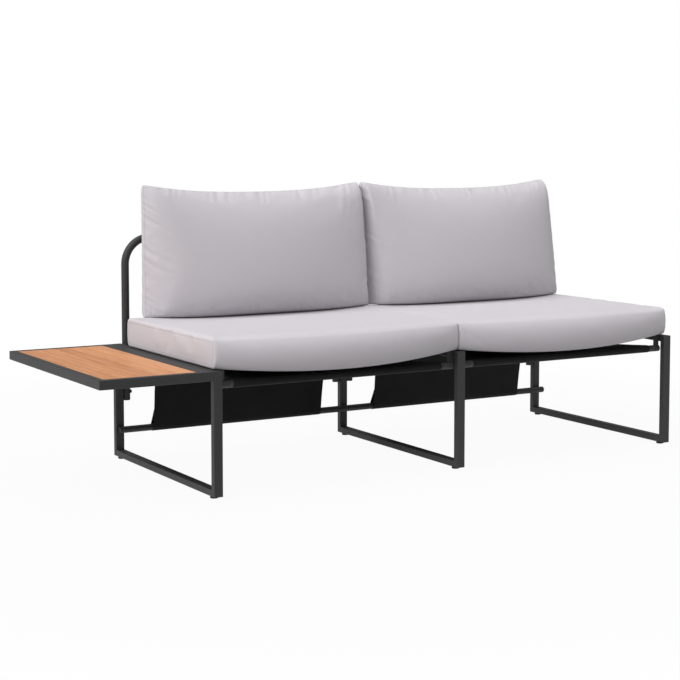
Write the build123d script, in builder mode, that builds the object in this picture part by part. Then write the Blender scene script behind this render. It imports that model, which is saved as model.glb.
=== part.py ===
"""Two-seat garden sofa: three leg loops, slung seats and backs, loose cushions and a slatted side table."""
import os
from math import asin, atan2, cos, hypot, pi, sin

from build123d import *

os.makedirs("parts", exist_ok=True)

# Leg loops: rectangular tube, mitred at the corners
tube_wide = 25.0
tube_deep = 18.0
tube_wall = 1.5
tube_corner = 2.0
frame_pitch = 740.0
frame_depth = 650.0
loop_height = 320.0

# Levelling feet under the bottom rails
foot_lift = 6.0
foot_dia = 21.0
foot_pad = 4.5
foot_stud = 8.0
foot_stud_length = 15.0
foot_inset = 27.0
insert_dia = 11.0
insert_flange_dia = 15.0
insert_flange = 1.0
insert_length = 11.0
screw_clearance = 0.4

# Round tubes that carry the slings
round_dia = 19.0
round_wall = 1.5
seat_tube_drop = 38.5
low_tube_height = 76.0
low_tube_start = 6.0
low_tube_reach = 6.0
low_screw_shift = (4.5, 0.0, 0.0)
cap_lip = 3.0
cap_plugs = (3.0, 8.0)
fit_gap = 0.3

# Hanger plates that hold the seat tubes on the top rails
hanger_wide = 17.0
hanger_thick = 4.0
hanger_seat = 4.0
hanger_top_gap = 2.0
stop_screw_dia = 8.0
stop_screw_head = 2.5
stop_screw_shank = 4.0
stop_screw_margin = 9.0

# Back hoops
hoop_dia = 22.0
hoop_wall = 1.5
hoop_top = 632.0
hoop_bend = 75.0
hoop_foot = 160.0
plug_lip = 2.0
plug_length = 16.0
bolt_dia = 6.0
bolt_head_dia = 12.0
bolt_head = 4.0
bolt_grip = 9.0
hoop_bolt_heights = (182.0, 290.0)

# Slings of woven mesh
mesh = 1.0
sleeve_gap = 0.3
seat_sleeve_inset = 41.0
seat_edge_draw = 30.0
seat_sag = 8.0
join_setback = 66.0
join_height = 286.0
join_hem = 16.0
back_foot_inset = 75.0
back_head_inset = 94.0
back_edge_draw = 12.0
pocket_height = 52.0

# Side table
table_reach = 305.0
rail_wide = 18.0
rail_high = 24.0
wide_rail = 38.0
slat_count = 5
slat_thick = 12.0
slat_gap = 1.5
slat_edge_gap = 0.5
slat_drop = 0.5
slat_chamfer = 1.0
bar_count = 3
bar_wide = 30.0
bar_thick = 4.0
slat_screw_dia = 4.0
slat_screw_head_dia = 8.0
slat_screw_head = 2.5
slat_screw_bite = 7.0
table_bolt_count = 3
table_bolt_bite = 30.0

# Cushions
cushion_gap = 0.4
seat_bulge = 42.0
seat_front_set = 13.0
seat_rear_set = 78.0
seat_start = 9.0
seat_seam_shift = 1.5
seat_end_lap = 6.0
seat_top = 402.0
seat_crown = 7.0
seat_under_sag = 22.0
seat_round = 14.0
seat_end_round = 7.0
back_settle = 0.7
back_start = 72.0
back_seam_shift = 28.5
back_end_set = 15.0
back_head = 762.0
back_head_dip = 16.0
back_front_low_set = 147.0
back_rear_low_set = 62.0
back_front_high_set = 84.0
back_rear_high_set = 30.0
back_belly = 18.0
back_swell = 26.0
back_round = 16.0
back_end_round = 9.0

# Overall placing: the box of the whole object is centred on X and Y and stands on Z = 0
length_all = table_reach + 2 * frame_pitch + tube_wide + low_tube_reach
depth_all = seat_bulge + frame_depth - tube_deep / 2 + hoop_dia / 2 + sleeve_gap + mesh
x_left = table_reach - length_all / 2
y_front = seat_bulge - depth_all / 2
y_rear = y_front + frame_depth
z_rail = foot_lift
z_top = z_rail + loop_height
frame_names = ("left", "middle", "right")
frame_x = [x_left + i * frame_pitch + tube_wide / 2 for i in range(3)]
bay_names = ("left", "right")
bays = [(frame_x[i] + tube_wide / 2, frame_x[i + 1] - tube_wide / 2) for i in range(2)]
y_leg_rear = y_rear - tube_deep / 2
y_seat_tube = y_front + tube_deep + round_dia / 2
z_seat_tube = z_top - seat_tube_drop
y_low_tube = y_rear - tube_deep - round_dia / 2
z_low_tube = z_rail + low_tube_height
z_hoop = z_rail + hoop_top - hoop_dia / 2
screw_hole = bolt_dia + screw_clearance


def save(piece, name):
    """Labels a finished piece and writes it to its own file."""
    piece.label = name
    export_step(piece, f"parts/{name}.step")


def rod(start, direction, dia, length):
    """Cylinder that starts at a point and runs along a direction."""
    with BuildPart() as cylinder:
        with BuildSketch(Plane(origin=start, z_dir=direction)):
            Circle(dia / 2)
        extrude(amount=length)
    return cylinder.part


def loop_tube(name, length, place, holes=()):
    """Mitred tube: local Z along its length, outer face on local Y = 0, the loop's inside towards +Y."""
    with BuildPart() as tube:
        with BuildSketch(Plane.YZ.offset(-tube_wide / 2)):
            with BuildLine():
                Polyline((0, 0), (tube_deep, tube_deep), (tube_deep, length - tube_deep), (0, length),
                         close=True)
            make_face()
        extrude(amount=tube_wide)
        fillet(tube.edges().filter_by(Axis.Z), tube_corner)
        with Locations((0, tube_deep / 2, length / 2)):
            Box(tube_wide - 2 * tube_wall, tube_deep - 2 * tube_wall, length + 2, mode=Mode.SUBTRACT)
    placed = tube.part.moved(place)
    for start, direction, dia, depth in holes:
        placed = placed - rod(start, direction, dia, depth)
    save(placed, name)


# Leg loops with their feet
x_out = Vector(1, 0, 0)
y_out = Vector(0, 1, 0)
z_out = Vector(0, 0, 1)
foot_rows = (("front", y_front + foot_inset), ("rear", y_rear - foot_inset))
insert_list = []
for i, side in enumerate(frame_names):
    x = frame_x[i]
    insert_hole = insert_dia + screw_clearance
    rail_holes = [((x, y, z_rail - 1), z_out, insert_hole, tube_wall + 2) for _, y in foot_rows]
    low_screw_start = (x + low_screw_shift[i], y_rear - tube_deep - 1, z_low_tube)
    leg_holes = [(low_screw_start, y_out, screw_hole, tube_deep + 2)]
    side_reach = tube_wide / 2 + 1
    for bolt_z in hoop_bolt_heights:
        if i > 0:
            left_face = (x - side_reach, y_leg_rear, z_rail + bolt_z)
            leg_holes.append((left_face, x_out, screw_hole, tube_wall + 2))
        if i < 2:
            right_face = (x + side_reach, y_leg_rear, z_rail + bolt_z)
            leg_holes.append((right_face, -x_out, screw_hole, tube_wall + 2))
    bolt_step = frame_depth / table_bolt_count
    table_bolt_rows = [y_front + bolt_step * (k + 0.5) for k in range(table_bolt_count)]
    z_table_bolt = z_top - tube_deep / 2
    top_holes = []
    if i == 0:
        for y in table_bolt_rows:
            top_holes.append(((x - tube_wide, y, z_table_bolt), x_out, screw_hole, 2 * tube_wide))
    loop_tube(f"{side}_front_leg", loop_height, Location((x, y_front, z_rail)))
    loop_tube(f"{side}_rear_leg", loop_height, Location((x, y_rear, z_rail), (0, 0, 180)), leg_holes)
    loop_tube(f"{side}_bottom_rail", frame_depth, Location((x, y_rear, z_rail), (90, 0, 0)), rail_holes)
    loop_tube(f"{side}_top_rail", frame_depth, Location((x, y_front, z_top), (-90, 0, 0)), top_holes)
    for row, y in foot_rows:
        with BuildPart() as foot:
            with BuildSketch(Plane.XY):
                with Locations((x, y)):
                    Circle(foot_dia / 2)
            extrude(amount=foot_pad)
            chamfer(foot.edges().group_by(Axis.Z)[0], 0.8)
            fillet(foot.edges().group_by(Axis.Z)[-1], 1.2)
            with BuildSketch(Plane.XY.offset(foot_pad)):
                with Locations((x, y)):
                    Circle(foot_stud / 2)
            extrude(amount=foot_stud_length)
        save(foot.part, f"{side}_{row}_foot")
        insert_list.append((x, y))

with BuildPart() as foot_inserts:
    with Locations(*[(x, y, z_rail - insert_flange) for x, y in insert_list]):
        Cylinder(insert_flange_dia / 2, insert_flange, align=(Align.CENTER, Align.CENTER, Align.MIN))
        Cylinder(insert_dia / 2, insert_length, align=(Align.CENTER, Align.CENTER, Align.MIN))
        Cylinder(foot_stud / 2 + screw_clearance / 2, 3 * insert_length, mode=Mode.SUBTRACT)
save(foot_inserts.part, "foot_inserts")


def straight_tube(x_start, x_end, y, z, screws=()):
    """Round tube along X between two ends, drilled at the given (X, direction) places."""
    with BuildPart() as tube:
        with BuildSketch(Plane(origin=(x_start, y, z), z_dir=(1, 0, 0))):
            Circle(round_dia / 2)
            Circle(round_dia / 2 - round_wall, mode=Mode.SUBTRACT)
        extrude(amount=x_end - x_start)
    piece = tube.part
    for start, direction, dia, depth in screws:
        piece = piece - rod(start, direction, dia, depth)
    return piece


# Seat tube of each bay with its hanger plates and stop screws
hanger_list = []
stop_list = []
for bay, (x_low, x_high) in zip(bay_names, bays):
    stops = []
    stop_inset = seat_sleeve_inset - stop_screw_margin
    for x in (x_low + stop_inset, x_high - stop_inset):
        seat_point = Vector(x, y_seat_tube - round_dia / 2, z_seat_tube)
        stops.append((seat_point - y_out, y_out, stop_screw_shank + screw_clearance, 2 + round_wall))
        stop_list.append(seat_point)
    seat_tube = straight_tube(x_low + fit_gap, x_high - fit_gap, y_seat_tube, z_seat_tube, stops)
    save(seat_tube, f"{bay}_seat_tube")
    hanger_list += [x_low + hanger_wide / 2, x_high - hanger_wide / 2]

with BuildPart() as seat_hangers:
    z_low = z_seat_tube + round_dia / 2 - hanger_seat
    with Locations(*[(x, y_seat_tube, z_low) for x in hanger_list]):
        Box(hanger_wide, hanger_thick, z_top - hanger_top_gap - z_low,
            align=(Align.CENTER, Align.CENTER, Align.MIN))
    with Locations(Location(((bays[0][0] + bays[1][1]) / 2, y_seat_tube, z_seat_tube), (0, 90, 0))):
        Cylinder(round_dia / 2, length_all, mode=Mode.SUBTRACT)
save(seat_hangers.part, "seat_hangers")

with BuildPart() as stop_screws:
    for point in stop_list:
        with BuildSketch(Plane(origin=point, z_dir=-y_out)):
            Circle(stop_screw_dia / 2)
        extrude(amount=stop_screw_head, taper=18)
        with BuildSketch(Plane(origin=point, z_dir=y_out)):
            Circle(stop_screw_shank / 2)
        extrude(amount=round_wall + 4)
        with BuildSketch(Plane(origin=point - y_out * (stop_screw_head - 1.2), z_dir=-y_out)):
            RegularPolygon(1.6, 6)
        extrude(amount=3, mode=Mode.SUBTRACT)
save(stop_screws.part, "stop_screws")

# Low rear tube with its end caps and leg screws
x_low_ends = (frame_x[0] - tube_wide / 2 + low_tube_start, frame_x[2] + tube_wide / 2 + low_tube_reach)
low_screw_x = [x + shift for x, shift in zip(frame_x, low_screw_shift)]
low_holes = [((x, y_low_tube + round_dia, z_low_tube), -y_out, screw_hole, round_dia) for x in low_screw_x]
low_tube_ends = (x_low_ends[0] + cap_lip, x_low_ends[1] - cap_lip)
save(straight_tube(*low_tube_ends, y_low_tube, z_low_tube, low_holes), "low_rear_tube")

with BuildPart() as tube_caps:
    for x, inward, plug in zip(x_low_ends, (1, -1), cap_plugs):
        with BuildSketch(Plane(origin=(x, y_low_tube, z_low_tube), z_dir=(inward, 0, 0))):
            Circle(round_dia / 2 - fit_gap / 2)
        extrude(amount=cap_lip)
        plug_start = (x + inward * cap_lip, y_low_tube, z_low_tube)
        with BuildSketch(Plane(origin=plug_start, z_dir=(inward, 0, 0))):
            Circle(round_dia / 2 - round_wall - fit_gap / 2)
        extrude(amount=plug)
    ends = tube_caps.faces().sort_by(Axis.X)
    fillet(ends[0].edges() + ends[-1].edges(), 1.5)
save(tube_caps.part, "low_tube_caps")

with BuildPart() as low_screws:
    for x in low_screw_x:
        with BuildSketch(Plane(origin=(x, y_rear, z_low_tube), z_dir=(0, 1, 0))):
            Circle(bolt_head_dia / 2)
        extrude(amount=1.8)
        with BuildSketch(Plane(origin=(x, y_rear, z_low_tube), z_dir=(0, -1, 0))):
            Circle(bolt_dia / 2)
        extrude(amount=tube_deep + round_wall + 4)
save(low_screws.part, "low_tube_screws")

# Back hoops with plugs and bolts
plug_list = []
bolt_list = []
for bay, (x_low, x_high) in zip(bay_names, bays):
    legs = (x_low + hoop_dia / 2, x_high - hoop_dia / 2)
    z_foot = z_rail + hoop_foot
    with BuildPart() as hoop:
        with BuildLine(Plane.XZ.offset(-y_leg_rear)) as hoop_path:
            FilletPolyline((legs[0], z_foot), (legs[0], z_hoop), (legs[1], z_hoop), (legs[1], z_foot),
                           radius=hoop_bend)
        with BuildSketch(Plane(origin=(legs[0], y_leg_rear, z_foot), z_dir=(0, 0, 1))):
            Circle(hoop_dia / 2)
            Circle(hoop_dia / 2 - hoop_wall, mode=Mode.SUBTRACT)
        sweep(path=hoop_path.wires()[0])
    hoop_part = hoop.part
    for x_leg, inward in zip(legs, (1, -1)):
        plug_list.append((x_leg, z_foot))
        for bolt_z in hoop_bolt_heights:
            start = Vector(x_leg + inward * hoop_dia, y_leg_rear, z_rail + bolt_z)
            hoop_part = hoop_part - rod(start, -x_out * inward, screw_hole, 2 * hoop_dia)
            bolt_seat = Vector(x_leg + inward * hoop_dia / 2, y_leg_rear, z_rail + bolt_z)
            bolt_list.append((bolt_seat, x_out * inward))
    save(hoop_part, f"{bay}_back_hoop")

with BuildPart() as hoop_plugs:
    for x, z in plug_list:
        with Locations((x, y_leg_rear, z)):
            Cylinder(hoop_dia / 2 - fit_gap, plug_lip, align=(Align.CENTER, Align.CENTER, Align.MAX))
            Cylinder(hoop_dia / 2 - hoop_wall - fit_gap / 2, plug_length - plug_lip,
                     align=(Align.CENTER, Align.CENTER, Align.MIN))
save(hoop_plugs.part, "hoop_plugs")

with BuildPart() as hoop_bolts:
    for point, facing in bolt_list:
        with BuildSketch(Plane(origin=point, z_dir=facing)):
            Circle(bolt_head_dia / 2)
        extrude(amount=bolt_head, taper=16)
        with BuildSketch(Plane(origin=point, z_dir=-facing)):
            Circle(bolt_dia / 2)
        extrude(amount=hoop_dia + bolt_grip)
        with BuildSketch(Plane(origin=point + facing * (bolt_head - 2), z_dir=facing)):
            RegularPolygon(2.3, 6)
        extrude(amount=4, mode=Mode.SUBTRACT)
save(hoop_bolts.part, "hoop_bolts")


def tangent_band(first, first_radius, second, second_radius, width):
    """Four corners of a straight band that touches two circles on their front (-Y) sides."""
    run = hypot(second[0] - first[0], second[1] - first[1])
    heading = atan2(second[1] - first[1], second[0] - first[0])
    lean = asin((first_radius - second_radius) / run)
    side = heading - pi / 2 - lean if sin(heading) < 0 else heading + pi / 2 + lean
    normal = (cos(side), sin(side))
    corners = []
    for centre, radius in ((first, first_radius), (second, second_radius)):
        corners.append((centre[0] + normal[0] * radius, centre[1] + normal[1] * radius))
    for centre, radius in ((second, second_radius + width), (first, first_radius + width)):
        corners.append((centre[0] + normal[0] * radius, centre[1] + normal[1] * radius))
    return corners


# Slings: the seat panel runs from its tube to a hem sewn on the front of the back panel, at its bend
sleeve_inner = round_dia / 2 + sleeve_gap
sleeve_outer = sleeve_inner + mesh
head_inner = hoop_dia / 2 + sleeve_gap
head_outer = head_inner + mesh
head = (y_leg_rear, z_hoop)
join = (y_rear - join_setback, z_rail + join_height)
toe = (y_low_tube, z_low_tube)
upper_band = tangent_band(head, head_inner, join, 0, mesh)
lower_band = tangent_band(join, 0, toe, sleeve_inner, mesh)
rise = atan2(upper_band[3][1] - upper_band[2][1], upper_band[3][0] - upper_band[2][0])
hem_foot = upper_band[2]
hem_head = (hem_foot[0] + cos(rise) * join_hem, hem_foot[1] + sin(rise) * join_hem)
hem_out = (-sin(rise) * mesh, cos(rise) * mesh)
for bay, (x_low, x_high) in zip(bay_names, bays):
    x_ends = (x_low + seat_sleeve_inset, x_high - seat_sleeve_inset)
    y_end = hem_foot[0] + hem_out[0]
    y_mid = (y_seat_tube + y_end) / 2
    z_end = hem_foot[1] + hem_out[1]
    z_seat_mid = (z_seat_tube + sleeve_outer + z_end) / 2 - seat_sag
    with BuildPart() as seat_sling:
        with BuildSketch(Plane.YZ.offset(x_ends[0])):
            with Locations((y_seat_tube, z_seat_tube)):
                Circle(sleeve_outer)
            with BuildLine():
                upper = ThreePointArc((y_seat_tube, z_seat_tube + sleeve_outer), (y_mid, z_seat_mid),
                                      (y_end + mesh / 2, z_end + 2 * mesh))
                lower = ThreePointArc((y_seat_tube, z_seat_tube + sleeve_inner), (y_mid, z_seat_mid - mesh),
                                      (y_end + mesh / 2, z_end + mesh))
                Line(upper @ 0, lower @ 0)
                Line(upper @ 1, lower @ 1)
            make_face()
            with BuildLine():
                Polyline((hem_foot[0], z_end), (hem_head[0], hem_head[1]),
                         (hem_head[0] + hem_out[0], hem_head[1] + hem_out[1]), (y_end, z_end), close=True)
            make_face()
            with Locations((y_seat_tube, z_seat_tube)):
                Circle(sleeve_inner, mode=Mode.SUBTRACT)
        extrude(amount=x_ends[1] - x_ends[0])
        for x, x_join, inward in zip(x_ends, (x_low + back_foot_inset, x_high - back_foot_inset), (1, -1)):
            y_edge = (y_seat_tube + sleeve_outer, y_end)
            with BuildSketch(Plane.XY.offset(z_seat_tube - 40)):
                with BuildLine():
                    ThreePointArc((x, y_edge[0]), ((x + x_join) / 2 + inward * seat_edge_draw, y_mid),
                                  (x_join + inward * back_edge_draw, y_edge[1]))
                    Polyline((x_join + inward * back_edge_draw, y_edge[1]),
                             (x_join + inward * back_edge_draw, y_rear),
                             (x - inward * 5, y_rear), (x - inward * 5, y_edge[0]), (x, y_edge[0]))
                make_face()
            extrude(amount=80, mode=Mode.SUBTRACT)
    save(seat_sling.part, f"{bay}_seat_sling")

    x_toe = (x_low + back_foot_inset, x_high - back_foot_inset)
    x_head = (x_low + back_head_inset, x_high - back_head_inset)
    pocket_top = tuple(lower_band[1][k] + (lower_band[0][k] - lower_band[1][k])
                       * pocket_height / (join[1] - toe[1]) for k in range(2))
    slope = atan2(lower_band[1][1] - lower_band[2][1], lower_band[1][0] - lower_band[2][0])
    behind = (cos(slope) * mesh, sin(slope) * mesh)
    with BuildPart() as back_sling:
        with BuildSketch(Plane.YZ.offset(x_toe[0])):
            with Locations(head):
                Circle(head_outer)
            with Locations(toe):
                Circle(sleeve_outer)
            with BuildLine():
                Polyline(*upper_band, close=True)
            make_face()
            with BuildLine():
                Polyline(*lower_band, close=True)
            make_face()
            with BuildLine():
                Polyline(join, upper_band[2], lower_band[3], close=True)
            make_face()
            with BuildLine():
                Polyline(lower_band[1], pocket_top, (pocket_top[0] + behind[0], pocket_top[1] + behind[1]),
                         (lower_band[1][0] + behind[0], lower_band[1][1] + behind[1]), close=True)
            make_face()
            with Locations(head):
                Circle(head_inner, mode=Mode.SUBTRACT)
            with Locations(toe):
                Circle(sleeve_inner, mode=Mode.SUBTRACT)
        extrude(amount=x_toe[1] - x_toe[0])
        z_edge = (z_low_tube + sleeve_outer, z_hoop - head_outer)
        for k, inward in enumerate((1, -1)):
            x_mid = (x_toe[k] + x_head[k]) / 2 + inward * back_edge_draw
            outside = x_toe[k] - inward * 5
            with BuildSketch(Plane.XZ.offset(-y_rear - 40)):
                with BuildLine():
                    ThreePointArc((x_toe[k], z_edge[0]), (x_mid, sum(z_edge) / 2), (x_head[k], z_edge[1]))
                    Polyline((x_head[k], z_edge[1]), (x_head[k], z_hoop + 40), (outside, z_hoop + 40),
                             (outside, z_edge[0]), (x_toe[k], z_edge[0]))
                make_face()
            extrude(amount=frame_depth, mode=Mode.SUBTRACT)
    save(back_sling.part, f"{bay}_back_sling")

# Side table: rails, slats, bars and fastenings
x_table = frame_x[0] - tube_wide / 2 - table_reach
x_loop = frame_x[0] - tube_wide / 2
x_wood = (x_table + rail_wide, x_loop - wide_rail)
y_wood = (y_front + rail_wide, y_rear - rail_wide)
z_rail_low = z_top - rail_high


def table_rail(name, outline, axis, hollow_low, hollow_high, holes=()):
    """Hollow rail of the table frame, drawn in plan and rounded along its length."""
    with BuildPart() as rail:
        with BuildSketch(Plane.XY.offset(z_rail_low)):
            with BuildLine():
                Polyline(*outline, close=True)
            make_face()
        extrude(amount=rail_high)
        fillet(rail.edges().filter_by(axis), tube_corner)
        size = [high - low for low, high in zip(hollow_low, hollow_high)]
        middle = [low + span / 2 for low, span in zip(hollow_low, size)]
        with Locations((middle[0], middle[1], z_rail_low + rail_high / 2)):
            Box(size[0], size[1], rail_high - 2 * tube_wall, mode=Mode.SUBTRACT)
    piece = rail.part
    for start, direction, dia, depth in holes:
        piece = piece - rod(start, direction, dia, depth)
    save(piece, name)


w = tube_wall
table_rail("table_front_rail",
           [(x_table, y_front), (x_loop, y_front), (x_loop, y_wood[0]), (x_wood[0], y_wood[0])], Axis.X,
           (x_table - 1, y_front + w), (x_loop + 1, y_wood[0] - w))
table_rail("table_rear_rail",
           [(x_table, y_rear), (x_loop, y_rear), (x_loop, y_wood[1]), (x_wood[0], y_wood[1])], Axis.X,
           (x_table - 1, y_wood[1] + w), (x_loop + 1, y_rear - w))
table_rail("table_left_rail",
           [(x_table, y_front), (x_wood[0], y_wood[0]), (x_wood[0], y_wood[1]), (x_table, y_rear)], Axis.Y,
           (x_table + w, y_front - 1), (x_wood[0] - w, y_rear + 1))
table_rail("table_right_rail",
           [(x_wood[1], y_wood[0]), (x_loop, y_wood[0]), (x_loop, y_wood[1]), (x_wood[1], y_wood[1])],
           Axis.Y,
           (x_wood[1] + w, y_wood[0] - 1), (x_loop - w, y_wood[1] + 1),
           [((x_loop + 1, y, z_table_bolt), -x_out, screw_hole, 1 + w + 1) for y in table_bolt_rows])

slat_span = x_wood[1] - x_wood[0] - 2 * slat_edge_gap
slat_wide = (slat_span - (slat_count - 1) * slat_gap) / slat_count
slat_x = [x_wood[0] + slat_edge_gap + slat_wide / 2 + k * (slat_wide + slat_gap) for k in range(slat_count)]
z_slat = z_top - slat_drop - slat_thick
y_table_mid = (y_front + y_rear) / 2
bar_rows = [y_wood[0] + (y_wood[1] - y_wood[0]) * (k + 0.5) / bar_count for k in range(bar_count)]
for k, x in enumerate(slat_x):
    with BuildPart() as slat:
        with Locations((x, y_table_mid, z_slat)):
            Box(slat_wide, y_wood[1] - y_wood[0] - 2 * slat_edge_gap, slat_thick,
                align=(Align.CENTER, Align.CENTER, Align.MIN))
        chamfer(slat.edges().group_by(Axis.Z)[-1], slat_chamfer)
        for y in bar_rows:
            with Locations((x, y, z_slat)):
                Cylinder(slat_screw_dia / 2 + screw_clearance / 2, slat_screw_bite + 1,
                         align=(Align.CENTER, Align.CENTER, Align.MIN), mode=Mode.SUBTRACT)
    save(slat.part, f"table_slat_{k + 1}")

for k, y in enumerate(bar_rows):
    with BuildPart() as bar:
        with Locations(((x_wood[0] + x_wood[1]) / 2, y, z_slat)):
            Box(x_wood[1] - x_wood[0], bar_wide, bar_thick, align=(Align.CENTER, Align.CENTER, Align.MAX))
        with Locations(*[(x, y, z_slat) for x in slat_x]):
            Cylinder(slat_screw_dia / 2 + screw_clearance / 2, 3 * bar_thick, mode=Mode.SUBTRACT)
    save(bar.part, f"table_bar_{k + 1}")

with BuildPart() as slat_screws:
    with Locations(*[(x, y, z_slat - bar_thick) for x in slat_x for y in bar_rows]):
        Cylinder(slat_screw_head_dia / 2, slat_screw_head, align=(Align.CENTER, Align.CENTER, Align.MAX))
        Cylinder(slat_screw_dia / 2, bar_thick + slat_screw_bite,
                 align=(Align.CENTER, Align.CENTER, Align.MIN))
save(slat_screws.part, "slat_screws")

with BuildPart() as table_bolts:
    for y in table_bolt_rows:
        with BuildSketch(Plane(origin=(x_loop + tube_wide, y, z_table_bolt), z_dir=(1, 0, 0))):
            Circle(bolt_head_dia / 2)
        extrude(amount=bolt_head)
        with BuildSketch(Plane(origin=(x_loop + tube_wide, y, z_table_bolt), z_dir=(-1, 0, 0))):
            Circle(bolt_dia / 2)
        extrude(amount=table_bolt_bite)
save(table_bolts.part, "table_bolts")


def bowed(start, end, bow):
    """Arc between two points that bows to the left of its run by a height, or a line with no bow."""
    if bow == 0:
        return Line(start, end)
    run = (end[0] - start[0], end[1] - start[1])
    size = hypot(*run)
    middle = ((start[0] + end[0]) / 2 - run[1] / size * bow, (start[1] + end[1]) / 2 + run[0] / size * bow)
    return ThreePointArc(start, middle, end)


def soft_section(x, corners, cut, bows):
    """Closed face across X: four bowed sides and four rounded corners, given front-low corner first."""
    ends = []
    for k in range(4):
        here, after = corners[k], corners[(k + 1) % 4]
        run = (after[0] - here[0], after[1] - here[1])
        size = hypot(*run)
        step = (run[0] / size * cut, run[1] / size * cut)
        ends.append(((here[0] + step[0], here[1] + step[1]), (after[0] - step[0], after[1] - step[1])))
    with BuildSketch(Plane.YZ.offset(x)) as section:
        with BuildLine():
            for k in range(4):
                bowed(*ends[k], -bows[k])
                start, end = ends[k][1], ends[(k + 1) % 4][0]
                bowed(start, end, -0.2 * hypot(end[0] - start[0], end[1] - start[1]))
        make_face()
    return section.sketch


def soft_loft(sections, end_round):
    """Solid through the sections, with its two ends rounded off."""
    with BuildPart() as cushion:
        loft(sections)
        ends = cushion.faces().sort_by(Axis.X)
        fillet(ends[0].edges() + ends[-1].edges(), end_round)
    return cushion.part


def seat_cushion(x_low, x_high):
    """Box cushion whose front bows forward and whose underside hangs between the rails."""
    half = (x_high - x_low) / 2
    centre = (x_low + x_high) / 2
    sections = []
    for place in (-1, -0.5, 0, 0.5, 1):
        fall = 1 - place * place
        front = y_front + seat_front_set - (seat_bulge + seat_front_set - 3) * fall
        rear = y_rear - seat_rear_set
        low = z_top + cushion_gap + seat_under_sag * (0.09 - fall)
        high = z_rail + seat_top
        corners = [(front, low), (rear, low), (rear, high), (front, high)]
        bows = (0, 3, seat_crown * (0.2 + 0.8 * fall), 3)
        sections.append(soft_section(centre + place * half, corners, seat_round, bows))
    return soft_loft(sections, seat_end_round)


def back_cushion(x_low, x_high):
    """Wedge cushion that leans on the sling, fuller in the middle, its head dipping between the ends."""
    half = (x_high - x_low) / 2
    centre = (x_low + x_high) / 2
    z_sit = z_rail + seat_top - back_settle
    sections = []
    for place in (-1, -0.5, 0, 0.5, 1):
        fall = 1 - place * place
        high = z_rail + back_head - back_head_dip * fall
        corners = [(y_rear - back_front_low_set - back_belly * fall, z_sit + seat_crown * 0.6),
                   (y_rear - back_rear_low_set, z_sit),
                   (y_rear - back_rear_high_set, high), (y_rear - back_front_high_set, high)]
        bows = (0, 1, 3, 8 + back_swell * fall)
        sections.append(soft_section(centre + place * half, corners, back_round, bows))
    return soft_loft(sections, back_end_round)


x_right = frame_x[2] + tube_wide / 2
x_seat = [x_left + seat_start, frame_x[1] + seat_seam_shift, x_right - seat_end_lap]
x_back = [x_left + back_start, frame_x[1] + back_seam_shift, x_right - back_end_set]
for k, bay in enumerate(bay_names):
    shift = (0, -cushion_gap) if k == 0 else (cushion_gap, 0)
    save(seat_cushion(x_seat[k] + shift[0], x_seat[k + 1] + shift[1]), f"{bay}_seat_cushion")
    save(back_cushion(x_back[k] + shift[0], x_back[k + 1] + shift[1]), f"{bay}_back_cushion")
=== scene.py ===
"""Garden sofa: frame finishes, mesh slings, sewn cushions, wooden table, camera and light."""
import math

import bpy
import numpy as np
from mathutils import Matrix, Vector


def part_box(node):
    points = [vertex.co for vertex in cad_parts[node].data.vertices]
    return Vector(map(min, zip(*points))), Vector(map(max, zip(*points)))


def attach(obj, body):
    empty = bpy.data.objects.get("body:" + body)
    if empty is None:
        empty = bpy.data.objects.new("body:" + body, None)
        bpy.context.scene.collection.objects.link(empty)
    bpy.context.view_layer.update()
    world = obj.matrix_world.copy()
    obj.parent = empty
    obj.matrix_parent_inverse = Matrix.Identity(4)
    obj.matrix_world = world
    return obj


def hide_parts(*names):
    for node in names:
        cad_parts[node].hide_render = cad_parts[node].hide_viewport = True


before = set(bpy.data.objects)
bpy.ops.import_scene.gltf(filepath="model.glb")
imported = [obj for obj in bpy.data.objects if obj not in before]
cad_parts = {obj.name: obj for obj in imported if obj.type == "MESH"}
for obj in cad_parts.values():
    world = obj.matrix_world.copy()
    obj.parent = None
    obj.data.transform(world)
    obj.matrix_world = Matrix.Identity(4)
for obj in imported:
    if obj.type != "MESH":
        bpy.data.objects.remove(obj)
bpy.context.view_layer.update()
scene = bpy.context.scene
scene.view_settings.view_transform = "Standard"

# Places taken from the frame, in metres
left_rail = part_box("left_top_rail")
middle_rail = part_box("middle_top_rail")
right_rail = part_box("right_top_rail")
y_front, y_rear = left_rail[0][1], left_rail[1][1]
z_top = left_rail[1][2]
bays = {"left": (left_rail[1][0], middle_rail[0][0]), "right": (middle_rail[1][0], right_rail[0][0])}


class Wire:
    """A node socket that takes part in arithmetic; each operation adds one Math node."""

    def __init__(self, finish, socket):
        self.finish, self.socket = finish, socket

    def math(self, operation, *others):
        return self.finish.node("ShaderNodeMath", {"operation": operation}, dict(enumerate((self, *others))))

    def __add__(self, other):
        return self.math("ADD", other)

    def __sub__(self, other):
        return self.math("SUBTRACT", other)

    def __mul__(self, other):
        return self.math("MULTIPLY", other)

    def __truediv__(self, other):
        return self.math("DIVIDE", other)

    def __abs__(self):
        return self.math("ABSOLUTE")

    def __radd__(self, other):
        return self.math("ADD", other)

    def __rmul__(self, other):
        return self.math("MULTIPLY", other)

    def __rsub__(self, other):
        return self.finish.node("ShaderNodeMath", {"operation": "SUBTRACT"}, {0: other, 1: self})

    def sine(self):
        return self.math("SINE")

    def floor(self):
        return self.math("FLOOR")

    def most(self, other):
        return self.math("MAXIMUM", other)

    def step(self, low, high):
        """0 below low, 1 above high, smooth between."""
        return self.finish.node("ShaderNodeMapRange", {"interpolation_type": "SMOOTHSTEP"}, {
            "Value": self, "From Min": low, "From Max": high, "To Min": 0.0, "To Max": 1.0})


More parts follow.
